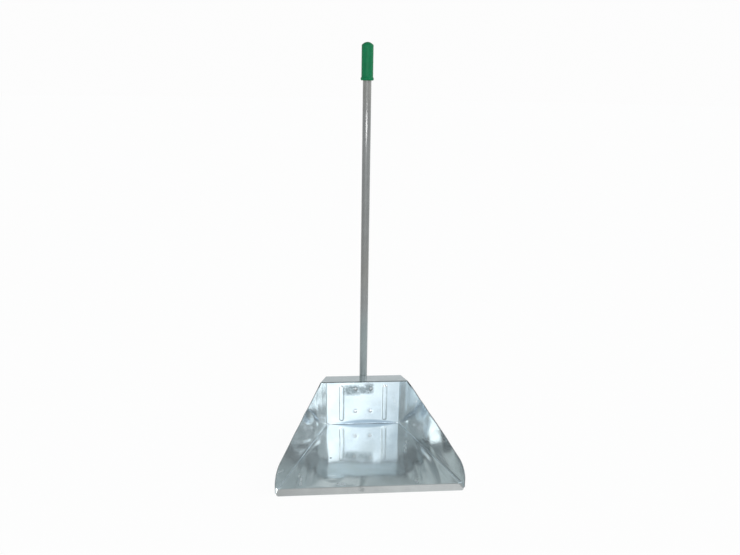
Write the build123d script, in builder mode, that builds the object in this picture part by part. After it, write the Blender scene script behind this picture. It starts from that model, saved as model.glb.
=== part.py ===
from build123d import *
from math import atan2, cos, sin, sqrt, tan
import os

# Long-handled dustpan of folded zinc-coated sheet, in millimetres.
# +Z is up, the mouth faces -Y, and the origin is on the ground under the middle of the object.

# Overall size
overall_width = 340.0
overall_depth = 250.0
overall_height = 770.0

# Pan sheet: floor, lip, back wall and hood are one folded strip, between two side walls
sheet = 0.6
back_width = 152.0
pan_height = 119.5
hood_depth = 30.0
lip_reach = 11.0
lip_drop = 6.6
fold_radius = 1.2
lip_fold_radius = 4.0
lip_corner_radius = 4.5
sheet_gap = 0.15

# Side walls
wall_setback = 3.0
mouth_height = 45.0
wall_crown_radius = 36.0
wall_toe_radius = 3.0
seam_flange = 6.0
rear_flange = 12.0
wall_fold_radius = 1.2

# Hems on the free edges and the hood's ears, folded down over the side walls
hem_width = 6.0
hem_thickness = 0.9
hem_round = 0.5
ear_height = 10.0
ear_gap = 1.2

# Pressed beads in the back wall
bead_spacing = 90.5
bead_width = 10.0
bead_bottom = 15.0
bead_top = 97.0
bead_depth = 1.6
bead_slope = 40.0

# Handle tube: its lower end stands on the ground, as the lip's edge does
tube_diameter = 15.6
tube_wall = 0.8
seat_gap = 0.05

# Saddles that clamp the tube, and their rivets
strap = 1.0
saddle_width = 16.0
saddle_corner_radius = 3.0
saddle_foot_margin = 6.0
saddle_bend_radius = 1.5
rivet_spacing = 32.0
lower_row = 37.0
upper_row = 88.5
rivet_diameter = 4.0
rivet_head_diameter = 8.4
rivet_head_height = 1.5
rivet_tail_diameter = 6.4
rivet_tail_height = 1.4
hole_gap = 0.05

# Blind rivet through the lower saddle and the tube
lock_diameter = 3.2
lock_head_diameter = 6.4
lock_head_height = 1.2
lock_bulb_diameter = 4.6
lock_bulb_length = 3.5

# Hand grip
grip_diameter = 21.4
grip_length = 66.5
grip_crown = 5.2
grip_flat_diameter = 3.6
grip_end = 14.0
grip_round = 1.2
crown_round = 4.0
ring_diameter = 24.0
ring_height = 5.8

# Places worked out from the sizes above
tube_y = overall_depth / 2 - ring_diameter / 2
tube_radius = tube_diameter / 2
back_rear = tube_y - tube_radius - seat_gap
back_front = back_rear - sheet
hood_front = back_rear - hood_depth
hood_under = pan_height - sheet
lip_angle = atan2(lip_drop, lip_reach)
lip_tip = -overall_depth / 2 + sheet * sin(lip_angle)
crease_y = lip_tip + lip_reach
floor_top = lip_drop + sheet
crease_top = crease_y - sheet * tan(lip_angle / 2)

# The walls flare so that their rounded hems are the overall width apart at the mouth: the centre of
# the hem's front round lies across and forward of the back corner, and out from the wall's inner face
hem_across = (overall_width - back_width) / 2 - hem_round
hem_forward = back_front + overall_depth / 2 - wall_setback - hem_round
hem_out = sheet + hem_thickness - hem_round
hem_reach = sqrt(hem_across**2 + hem_forward**2 - hem_out**2)
flare = atan2(hem_across, hem_forward) - atan2(hem_out, hem_reach)
wall_front = back_front - (hem_reach + hem_round) * cos(flare)
wall_rear = back_rear + sheet

back_face = Plane(origin=(0, back_front, 0), x_dir=(1, 0, 0), z_dir=(0, -1, 0))
wall_face = Plane(
    origin=(back_width / 2, back_front, 0),
    x_dir=(-sin(flare), cos(flare), 0),
    z_dir=(cos(flare), sin(flare), 0),
)
wall_foot = Plane(
    origin=(back_width / 2, back_front, floor_top),
    x_dir=(sin(flare), -cos(flare), 0),
    z_dir=(0, 0, 1),
)


def wall_x(y, out):
    """Plan place of the right wall at depth y, a distance out from its inner face."""
    return back_width / 2 + (back_front - y) * tan(flare) + out / cos(flare)


def on_wall(y, z):
    """Place of depth y and height z in the plane of the right wall."""
    return ((y - back_front) / cos(flare), z)


# Tray: lip, floor, back wall and hood
hood_hem_half = wall_x(hood_front + hem_width, 0) - sheet_gap
back_half = wall_x(back_rear, 0) - sheet_gap
heel_start = back_rear - fold_radius - sheet
tray_front = -overall_depth / 2
tray_right = [
    (wall_x(tray_front, sheet), tray_front),
    (wall_x(heel_start, sheet), heel_start),
    (back_half, heel_start),
    (back_half, back_rear),
]
tray_left = [(-x, y) for x, y in reversed(tray_right)]
tray_corners = [lip_corner_radius, 0, 0, 0, 0, 0, 0, lip_corner_radius]

with BuildPart() as pan_tray:
    with BuildSketch(Plane.YZ):
        with BuildLine():
            FilletPolyline(
                (lip_tip, 0),
                (crease_y, lip_drop),
                (back_rear, lip_drop),
                (back_rear, pan_height),
                (hood_front, pan_height),
                radius=[lip_fold_radius, fold_radius + sheet, fold_radius + sheet],
            )
            offset(amount=sheet, side=Side.LEFT)
        make_face()
    extrude(amount=overall_width / 2, both=True)
    with BuildSketch():
        with BuildLine():
            FilletPolyline(tray_right + tray_left, radius=tray_corners, close=True)
        make_face()
    extrude(amount=pan_height, mode=Mode.INTERSECT)
    with BuildSketch(Plane.XY.offset(hood_under - sheet)):
        with Locations((0, hood_front + hem_width / 2)):
            Rectangle(2 * hood_hem_half, hem_width)
    extrude(amount=sheet)
    with BuildSketch(Plane.XY.offset(pan_height - ear_height)):
        Polygon(
            (wall_x(hood_front, sheet), hood_front),
            (wall_x(hood_front, 2 * sheet), hood_front),
            (wall_x(heel_start, 2 * sheet), heel_start),
            (wall_x(heel_start, sheet), heel_start),
            align=None,
        )
        mirror(about=Plane.YZ)
    extrude(amount=ear_height)
    with BuildSketch(back_face):
        with Locations((0, (bead_bottom + bead_top) / 2)):
            with GridLocations(bead_spacing, 0, 2, 1):
                SlotOverall(bead_top - bead_bottom, bead_width, rotation=90)
    extrude(amount=bead_depth, taper=bead_slope)
    with BuildSketch(back_face.offset(-sheet)):
        with Locations((0, (bead_bottom + bead_top) / 2)):
            with GridLocations(bead_spacing, 0, 2, 1):
                SlotOverall(bead_top - bead_bottom - 2 * sheet, bead_width - 2 * sheet, rotation=90)
    extrude(amount=bead_depth, taper=bead_slope, mode=Mode.SUBTRACT)
    with BuildSketch(back_face):
        with Locations((0, (lower_row + upper_row) / 2)):
            with GridLocations(rivet_spacing, upper_row - lower_row, 2, 2):
                Circle(rivet_diameter / 2 + hole_gap)
    extrude(amount=-sheet, mode=Mode.SUBTRACT)

# Side walls: an upright sheet with flanges on the floor, behind the back wall and under the hood
edge_slope = (hood_under - mouth_height) / (hood_front - wall_front)
hem_start = hood_front - ear_gap - hem_width * edge_slope
wall_skew = sheet * sin(flare)
wall_crease = crease_top - wall_skew
toe_height = lip_drop * (wall_front + wall_skew - lip_tip) / lip_reach + sheet / cos(lip_angle)
seam_start = (fold_radius + sheet_gap) / cos(flare)
seam_skew = seam_flange * sin(flare)
floor_seam = (back_front - crease_top - seam_skew) / cos(flare) - seam_start
hood_seam = (back_front - hood_front - hem_width - sheet_gap - seam_skew) / cos(flare) - seam_start
fold_middle = wall_foot.from_local_coords((seam_start + floor_seam / 2, 0, sheet))
rear_flange_foot = floor_top + fold_radius + sheet

with BuildPart() as right_wall:
    with BuildSketch(wall_face):
        with BuildLine():
            FilletPolyline(
                on_wall(wall_rear, floor_top),
                on_wall(wall_rear, hood_under),
                on_wall(hood_front, hood_under),
                on_wall(wall_front, mouth_height),
                on_wall(wall_front, toe_height),
                on_wall(wall_crease, floor_top),
                radius=[0, 0, 0, wall_crown_radius, wall_toe_radius, 0],
                close=True,
            )
        make_face()
    extrude(amount=sheet)
    with BuildSketch(wall_foot):
        with Locations((seam_start, sheet / 2)):
            Rectangle(floor_seam, seam_flange + sheet / 2, align=(Align.MIN, Align.MAX))
    extrude(amount=sheet)
    fillet(right_wall.edges().sort_by_distance(fold_middle)[0], wall_fold_radius)
    with BuildSketch(wall_foot.offset(hood_under - sheet - floor_top)):
        with Locations((seam_start, sheet / 2)):
            Rectangle(hood_seam, seam_flange + sheet / 2, align=(Align.MIN, Align.MAX))
    extrude(amount=sheet)
    with BuildSketch(Plane.XY.offset(rear_flange_foot)):
        with Locations((wall_x(back_rear, sheet / 2), back_rear)):
            Rectangle(rear_flange, sheet, align=(Align.MAX, Align.MIN))
    extrude(amount=hood_under - sheet - rear_flange_foot)
    with BuildSketch(wall_face.offset(sheet)):
        with BuildLine():
            FilletPolyline(
                on_wall(hem_start, hood_under - edge_slope * (hood_front - hem_start)),
                on_wall(wall_front, mouth_height),
                on_wall(wall_front, toe_height + wall_toe_radius),
                radius=[wall_crown_radius],
            )
            offset(amount=hem_width, side=Side.LEFT)
        make_face()
    extrude(amount=hem_thickness)
    hem_face = right_wall.faces().sort_by(Axis(wall_face.origin, wall_face.z_dir))[-1]
    fillet(hem_face.edges(), hem_round)

with BuildPart() as left_wall:
    mirror(right_wall.part, about=Plane.YZ)

# Handle tube, with the hole for the blind rivet in its rear side
tube_top = overall_height - grip_end
lock_hole = Plane(origin=(0, tube_y, lower_row), x_dir=(-1, 0, 0), z_dir=(0, 1, 0))

with BuildPart() as handle_tube:
    with BuildSketch():
        with Locations((0, tube_y)):
            Circle(tube_radius)
            Circle(tube_radius - tube_wall, mode=Mode.SUBTRACT)
    extrude(amount=tube_top)
    with BuildSketch(lock_hole):
        Circle(lock_diameter / 2 + hole_gap)
    extrude(amount=tube_diameter, mode=Mode.SUBTRACT)


# Saddles: a strap round the tube, with a foot on either side
strap_inner = tube_radius + seat_gap
strap_outer = strap_inner + strap
foot_reach = rivet_spacing / 2 + saddle_foot_margin


def make_saddle(row, locked):
    """A saddle whose rivets lie at height row; a locked one has a hole for the blind rivet."""
    with BuildPart() as saddle:
        with BuildSketch(Plane.XY.offset(row - saddle_width / 2)):
            with BuildLine():
                Polyline(
                    (foot_reach, back_rear + strap),
                    (foot_reach, back_rear),
                    (strap_inner, back_rear),
                    (strap_inner, tube_y),
                )
                ThreePointArc((strap_inner, tube_y), (0, tube_y + strap_inner), (-strap_inner, tube_y))
                Polyline(
                    (-strap_inner, tube_y),
                    (-strap_inner, back_rear),
                    (-foot_reach, back_rear),
                    (-foot_reach, back_rear + strap),
                    (-strap_outer, back_rear + strap),
                    (-strap_outer, tube_y),
                )
                ThreePointArc((-strap_outer, tube_y), (0, tube_y + strap_outer), (strap_outer, tube_y))
                Polyline(
                    (strap_outer, tube_y),
                    (strap_outer, back_rear + strap),
                    (foot_reach, back_rear + strap),
                )
            make_face()
        extrude(amount=saddle_width)
        for side in (-1, 1):
            bend = saddle.edges().sort_by_distance((side * strap_outer, back_rear + strap, row))[0]
            fillet(bend, saddle_bend_radius)
        corners = saddle.edges().filter_by(Axis.Y).sort_by(lambda edge: abs(edge.center().X))[-4:]
        fillet(corners, saddle_corner_radius)
        with BuildSketch(back_face):
            with Locations((0, row)):
                with GridLocations(rivet_spacing, 0, 2, 1):
                    Circle(rivet_diameter / 2 + hole_gap)
        extrude(amount=-(sheet + strap), mode=Mode.SUBTRACT)
        if locked:
            with BuildSketch(lock_hole):
                Circle(lock_diameter / 2 + hole_gap)
            extrude(amount=tube_diameter, mode=Mode.SUBTRACT)
    return saddle


upper_saddle = make_saddle(upper_row, locked=False)
lower_saddle = make_saddle(lower_row, locked=True)


def make_rivets(row):
    """A pair of solid rivets at height row, with heads in the pan and tails on the saddle's feet."""
    held = sheet + strap
    tail = held + rivet_tail_height
    with BuildPart() as rivets:
        for x in (-rivet_spacing / 2, rivet_spacing / 2):
            with BuildSketch(Plane(origin=(x, back_front, row), x_dir=(1, 0, 0), z_dir=(0, 0, 1))):
                with BuildLine():
                    TangentArc((0, -rivet_head_height), (rivet_head_diameter / 2, 0), tangent=(1, 0))
                    Polyline(
                        (rivet_head_diameter / 2, 0),
                        (rivet_diameter / 2, 0),
                        (rivet_diameter / 2, held),
                        (rivet_tail_diameter / 2, held),
                    )
                    TangentArc((0, tail), (rivet_tail_diameter / 2, held), tangent=(1, 0))
                    Line((0, tail), (0, -rivet_head_height))
                make_face()
            revolve(axis=Axis((x, back_front, row), (0, 1, 0)))
    return rivets


upper_saddle_rivets = make_rivets(upper_row)
lower_saddle_rivets = make_rivets(lower_row)

# Blind rivet: its head lies on the lower saddle and its bulb inside the tube
bulb_rear = sqrt((tube_radius - tube_wall) ** 2 - (lock_bulb_diameter / 2) ** 2)
lock_head_radius = lock_head_diameter / 2
lock_tip = strap_outer + lock_head_height

with BuildPart() as tube_lock_rivet:
    with BuildSketch(Plane(origin=(0, tube_y, lower_row), x_dir=(1, 0, 0), z_dir=(0, 0, 1))):
        with BuildLine():
            TangentArc((0, lock_tip), (lock_head_radius, strap_outer), tangent=(1, 0))
            Polyline(
                (lock_head_radius, strap_outer),
                (lock_diameter / 2, strap_outer),
                (lock_diameter / 2, bulb_rear),
                (lock_bulb_diameter / 2, bulb_rear),
                (lock_bulb_diameter / 2, bulb_rear - lock_bulb_length),
                (0, bulb_rear - lock_bulb_length),
                (0, lock_tip),
            )
        make_face()
    revolve(axis=Axis((0, tube_y, lower_row), (0, 1, 0)))

# Hand grip: a sleeve on the tube's top, with a solid end and a ring at its mouth
grip_foot = overall_height - grip_length

with BuildPart() as hand_grip:
    with BuildSketch(Plane(origin=(0, tube_y, 0), x_dir=(1, 0, 0), z_dir=(0, -1, 0))):
        with BuildLine():
            Polyline(
                (0, overall_height),
                (grip_flat_diameter / 2, overall_height),
                (grip_diameter / 2, overall_height - grip_crown),
                (grip_diameter / 2, grip_foot + ring_height),
            )
            ThreePointArc(
                (grip_diameter / 2, grip_foot + ring_height),
                (ring_diameter / 2, grip_foot + ring_height / 2),
                (grip_diameter / 2, grip_foot),
            )
            Polyline(
                (grip_diameter / 2, grip_foot),
                (tube_radius + seat_gap, grip_foot),
                (tube_radius + seat_gap, tube_top),
                (0, tube_top),
                (0, overall_height),
            )
        make_face()
    revolve(axis=Axis((0, tube_y, 0), (0, 0, 1)))
    fillet(hand_grip.edges().filter_by(GeomType.CIRCLE).sort_by(Axis.Z)[-2], grip_round)
    fillet(hand_grip.edges().filter_by(GeomType.CIRCLE).sort_by(Axis.Z)[-1], crown_round)

pieces = {
    "pan_tray": pan_tray,
    "left_wall": left_wall,
    "right_wall": right_wall,
    "handle_tube": handle_tube,
    "upper_saddle": upper_saddle,
    "lower_saddle": lower_saddle,
    "upper_saddle_rivets": upper_saddle_rivets,
    "lower_saddle_rivets": lower_saddle_rivets,
    "tube_lock_rivet": tube_lock_rivet,
    "hand_grip": hand_grip,
}

os.makedirs("parts", exist_ok=True)
for name, piece in pieces.items():
    piece.part.label = name
    export_step(piece.part, f"parts/{name}.step")
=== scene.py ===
"""Long-handled dustpan: folded zinc-coated pan, steel handle tube and plastic hand grip.

Lengths are in metres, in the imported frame: +Z up, the pan's mouth towards -Y, the origin on the ground
under the middle of the object. The pan's sheets and the grip are worked out here as numpy surfaces; the
handle tube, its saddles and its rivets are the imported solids, dressed with finishes of their own.
"""

import logging
from dataclasses import dataclass, replace
from enum import Enum
from functools import cached_property
from math import asin, atan2, cos, pi, radians, sin, sqrt, tan
from typing import Sequence

import bmesh
import bpy
import numpy as np
from bpy.types import Material, Node, NodeSocket, NodeTree, Object
from mathutils import Matrix, Vector


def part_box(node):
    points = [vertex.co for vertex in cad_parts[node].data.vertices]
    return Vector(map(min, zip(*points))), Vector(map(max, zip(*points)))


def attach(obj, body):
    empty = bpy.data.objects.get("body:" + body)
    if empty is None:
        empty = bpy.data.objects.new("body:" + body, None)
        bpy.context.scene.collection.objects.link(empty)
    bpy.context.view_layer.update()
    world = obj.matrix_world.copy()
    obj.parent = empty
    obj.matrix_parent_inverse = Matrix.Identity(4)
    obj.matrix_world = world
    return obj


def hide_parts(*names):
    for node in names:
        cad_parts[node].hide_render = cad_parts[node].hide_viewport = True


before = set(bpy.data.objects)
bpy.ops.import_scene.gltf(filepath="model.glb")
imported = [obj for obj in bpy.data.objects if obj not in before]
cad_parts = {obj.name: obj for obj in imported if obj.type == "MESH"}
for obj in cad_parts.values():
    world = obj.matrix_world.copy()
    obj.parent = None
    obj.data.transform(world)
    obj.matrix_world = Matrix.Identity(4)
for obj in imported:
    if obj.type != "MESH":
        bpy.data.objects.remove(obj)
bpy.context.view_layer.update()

log = logging.getLogger("dustpan")
MM = 0.001
# edges with a larger angle, in degrees, are shaded as sharp: on plain sheet, and on hems and turned pieces
SHARP_EDGE, SHARP_ROUND = 35.0, 60.0
# nearly all values of a noise lie in this range
NOISE_RANGE = (0.3, 0.7)

Triple = tuple[float, float, float]
Stops = Sequence[tuple[float, Triple]]
Blobs = tuple[tuple[float, ...], ...]
MeshData = tuple[np.ndarray, np.ndarray]


class Side(Enum):
    """Side of the pan for someone who faces its mouth; the value is the sign of x there."""

    LEFT = -1
    RIGHT = 1


class Mark(Enum):
    """Kind of mark, painted shade among them; the value is the vertex attribute that says how much of it
    there is, from 0 to 1.
    """

    # painted shade: a darker reflection over the back wall's heel and in the floor seams' hollow rounds
    PAINTED_SHADE = "painted_shade"
    SCRATCH = "scratch"
    # scuffing, and painted shade under the hood
    SCUFF_AND_SHADE = "scuff_and_shade"
    # dirt, and painted shade in the heel fold and at the walls' free edges
    DIRT_AND_SHADE = "dirt_and_shade"


class Blend(Enum):
    """How a colour meets the one under it; the value is the mix node's word for that."""

    LIGHT = "ADD"
    SHADE = "MULTIPLY"


# Mesh work


def ease(x: np.ndarray) -> np.ndarray:
    """Ease from 0 to 1 as x goes from 0 to 1, by 3x^2 - 2x^3, and stay level outside."""
    t = np.clip(x, 0.0, 1.0)
    return t * t * (3.0 - 2.0 * t)


def between(x: np.ndarray, low: float, high: float, rise: float, fall: float) -> np.ndarray:
    """Ease from 0 at low up to 1 over a length rise, and down again to 0 at high over a length fall."""
    return ease((x - low) / rise) * ease((high - x) / fall)


def dome(square: np.ndarray) -> np.ndarray:
    """Soft dome (1 - r^2)^2 over a squared distance r^2: 1 in the middle and 0 from r = 1 on."""
    return np.clip(1.0 - square, 0.0, None) ** 2


def arc_rise(radius: float, off: np.ndarray) -> np.ndarray:
    """Rise of a circle of that radius at a distance off its centre, 0 outside it."""
    return np.sqrt(np.clip(radius**2 - off**2, 0.0, None))


def full_turn(count: int) -> np.ndarray:
    """Angles of that many points spaced evenly round a circle."""
    return np.linspace(0.0, 2.0 * pi, count + 1)[:-1]


def graded(stops: Sequence[float], counts: Sequence[int]) -> np.ndarray:
    """Even steps from stop to stop, without the last stop; counts has each run's points with both ends."""
    return np.concatenate([np.linspace(a, b, n)[:-1] for a, b, n in zip(stops, stops[1:], counts)])


def rounded_path(corners: Sequence[tuple[float, float]], radii: Sequence[float],
                 run_steps: Sequence[int], arc_steps: int) -> np.ndarray:
    """Plane path along straight runs, with an arc tangent to both runs at each inner corner.

    The arc of radius r at a turn of angle a starts r tan(a/2) before the corner; its points are its
    centre plus r times the unit vector that swings from the first run's normal to the second's.

    Args:
        corners: The runs' end points, in order.
        radii: Radius at each inner corner.
        run_steps: Points on each run.
        arc_steps: Points on each arc, with its two ends, which the runs already have.

    Returns:
        Points of the path, one row each.
    """
    points = np.array(corners, dtype=float)
    steps = np.diff(points, axis=0)
    heading = np.unwrap(np.arctan2(steps[:, 1], steps[:, 0]))
    unit = np.stack([np.cos(heading), np.sin(heading)], axis=1)
    turn = np.diff(heading)
    cut = np.abs(np.array(radii) * np.tan(turn / 2.0))
    starts = points[:-1] + unit * np.concatenate([[0.0], cut])[:, None]
    ends = points[1:] - unit * np.concatenate([cut, [0.0]])[:, None]
    pieces = []
    for i, count in enumerate(run_steps):
        share = np.linspace(0.0, 1.0, count)[:, None]
        pieces.append(starts[i] + (ends[i] - starts[i]) * share)
        if i < len(turn):
            side = np.sign(turn[i])
            normal = side * np.array([-unit[i, 1], unit[i, 0]])
            centre = ends[i] + normal * radii[i]
            swing = heading[i] - side * pi / 2.0 + turn[i] * np.linspace(0.0, 1.0, arc_steps)[1:-1]
            pieces.append(centre + radii[i] * np.stack([np.cos(swing), np.sin(swing)], axis=1))
    return np.concatenate(pieces)


def surface_normals(points: np.ndarray) -> np.ndarray:
    """Unit normals of a grid of points, rows by columns by 3: its two directions' differences, crossed."""
    normal = np.cross(np.gradient(points, axis=0), np.gradient(points, axis=1))
    return normal / np.linalg.norm(normal, axis=-1, keepdims=True)


def grid_quads(index: np.ndarray) -> np.ndarray:
    """Quads between the neighbours of a grid of vertex numbers, four numbers each."""
    return np.stack([index[:-1, :-1], index[1:, :-1], index[1:, 1:], index[:-1, 1:]], axis=-1).reshape(-1, 4)


def hoop_quads(stations: int, around: int) -> np.ndarray:
    """Quads between neighbours among that many closed loops, of that many points each."""
    index = np.arange(stations * around).reshape(stations, around)
    return grid_quads(np.concatenate([index, index[:, :1]], axis=1))


def ladder(around: int) -> np.ndarray:
    """Quads across a closed loop of an even number of points, from rung to rung."""
    rung = np.arange(around // 2 - 1)
    return np.stack([rung, rung + 1, around - 2 - rung, around - 1 - rung], axis=-1)


def shell(middle: np.ndarray, thickness: float) -> MeshData:
    """Closed sheet about a middle surface: both faces lie half the thickness along its normals.

    Args:
        middle: Grid of points of the middle surface.
        thickness: Sheet thickness.

    Returns:
        Vertices and quads.
    """
    rows, cols = middle.shape[:2]
    half = surface_normals(middle) * (thickness / 2.0)
    vertices = np.concatenate([(middle + half).reshape(-1, 3), (middle - half).reshape(-1, 3)])
    index = np.arange(rows * cols).reshape(rows, cols)
    edge = np.concatenate([index[0, :-1], index[:-1, -1], index[-1, :0:-1], index[:0:-1, 0]])
    following = np.roll(edge, -1)
    rim = np.stack([edge, following, following + rows * cols, edge + rows * cols], axis=-1)
    faces = np.concatenate([grid_quads(index), grid_quads(index + rows * cols)[:, ::-1], rim])
    return vertices, faces


def swept_bar(sections: np.ndarray) -> MeshData:
    """Closed bar through loops of an even number of points; a ladder of quads closes each end.

    Args:
        sections: Loops along the bar, stations by points by 3.

    Returns:
        Vertices and quads.
    """
    stations, around = sections.shape[:2]
    end = ladder(around)
    faces = np.concatenate([hoop_quads(stations, around), end, end[:, ::-1] + (stations - 1) * around])
    return sections.reshape(-1, 3), faces


def make_piece(name: str, mesh_data: MeshData, material: Material, sharp: float = SHARP_EDGE,
               marks: dict[Mark, np.ndarray] | None = None) -> Object:
    """Mesh object at the origin that rides on the frame's one body.

    Args:
        name: Piece name.
        mesh_data: Vertices and quads of a closed shape.
        material: Its finish.
        sharp: Edges with a larger angle, in degrees, are shaded as sharp.
        marks: How much of each kind of mark each vertex has, from 0 to 1, for the marks that the finish
            shows.

    Returns:
        The new object.
    """
    vertices, faces = mesh_data
    mesh = bpy.data.meshes.new(name)
    mesh.vertices.add(len(vertices))
    mesh.vertices.foreach_set("co", vertices.astype(np.float32).ravel())
    mesh.loops.add(faces.size)
    mesh.loops.foreach_set("vertex_index", faces.astype(np.int32).ravel())
    mesh.polygons.add(len(faces))
    mesh.polygons.foreach_set("loop_start", np.arange(0, faces.size, 4, dtype=np.int32))
    mesh.update(calc_edges=True)
    mesh.validate()
    work = bmesh.new()
    work.from_mesh(mesh)
    bmesh.ops.recalc_face_normals(work, faces=work.faces)
    work.to_mesh(mesh)
    work.free()
    mesh.polygons.foreach_set("use_smooth", np.ones(len(mesh.polygons), dtype=bool))
    mesh.set_sharp_from_angle(angle=radians(sharp))
    for wear, amount in (marks or {}).items():
        mesh.attributes.new(wear.value, "FLOAT", "POINT").data.foreach_set("value", amount.astype(np.float32))
    mesh.materials.append(material)
    piece = bpy.data.objects.new(name, mesh)
    bpy.context.scene.collection.objects.link(piece)
    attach(piece, "root")
    return piece


# Finishes


class NodeBench:
    """Short hand for laying out a material's or the world's nodes."""

    def __init__(self, tree: NodeTree) -> None:
        """Empty the tree and keep it."""
        self.tree = tree
        tree.nodes.clear()

    def add(self, kind: str, inputs: dict[str | int, object] | None = None, **settings: object) -> Node:
        """Add a node, set its properties, and set or link its inputs.

        Args:
            kind: Shader node type.
            inputs: Input names or numbers, each with a value or an output socket.
            **settings: Node properties.

        Returns:
            The new node.
        """
        node = self.tree.nodes.new(f"ShaderNode{kind}")
        for key, value in settings.items():
            setattr(node, key, value)
        for key, value in (inputs or {}).items():
            if isinstance(value, NodeSocket):
                self.tree.links.new(value, node.inputs[key])
            else:
                node.inputs[key].default_value = value
        return node

    def take(self, output: str, kind: str, inputs: dict[str | int, object] | None = None,
             **settings: object) -> NodeSocket:
        """Add a node as above and take one of its outputs."""
        return self.add(kind, inputs, **settings).outputs[output]

    def maths(self, operation: str, *values: object) -> NodeSocket:
        """Result of an operation on values or sockets."""
        return self.take("Value", "Math", dict(enumerate(values)), operation=operation)

    def noise(self, place: NodeSocket, scale: float, detail: float, roughness: float = 0.5) -> NodeSocket:
        """Noise from 0 to 1 over a place, with that many cells to the unit."""
        return self.take("Fac", "TexNoise", {"Vector": place, "Scale": scale, "Detail": detail,
                                             "Roughness": roughness})

    def mix(self, share: object, base: NodeSocket, other: object, blend: Blend = Blend.SHADE) -> NodeSocket:
        """Base colour, changed by another one to that share."""
        return self.take("Result", "Mix", {"Factor": share, "A": base, "B": other}, data_type="RGBA",
                         blend_type=blend.value)

    def amount(self, wear: Mark) -> NodeSocket:
        """How much of a kind of mark the piece has."""
        return self.take("Fac", "Attribute", attribute_name=wear.value)

    def ramp(self, factor: NodeSocket, stops: Stops, smooth: bool = False) -> NodeSocket:
        """Colour ramp over a factor.

        Args:
            factor: Value from 0 to 1.
            stops: Places and colours.
            smooth: Whether the colours ease into each other.

        Returns:
            The ramp's colour.
        """
        node = self.add("ValToRGB", {"Fac": factor})
        node.color_ramp.interpolation = "EASE" if smooth else "LINEAR"
        elements = node.color_ramp.elements
        while len(elements) < len(stops):
            elements.new(1.0)
        for element, (place, colour) in zip(elements, stops):
            element.position = place
            element.color = (*colour, 1.0)
        return node.outputs["Color"]

    def span(self, value: NodeSocket, low: float, high: float, to_low: float, to_high: float) -> NodeSocket:
        """Map a value from the range low to high to the range to_low to to_high, clamped."""
        return self.take("Result", "MapRange", {"Value": value, "From Min": low, "From Max": high,
                                                "To Min": to_low, "To Max": to_high})


def new_material(name: str) -> tuple[Material, NodeBench]:
    """Start a material with an empty node tree.

    Args:
        name: Material name.

    Returns:
        The material, and a bench for its nodes.
    """
    made = bpy.data.materials.new(name)
    made.use_nodes = True
    return made, NodeBench(made.node_tree)


def shade(colour: Triple, by: float) -> Triple:
    """A colour made lighter or darker by a factor."""
    return tuple(min(1.0, c * by) for c in colour)


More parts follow.
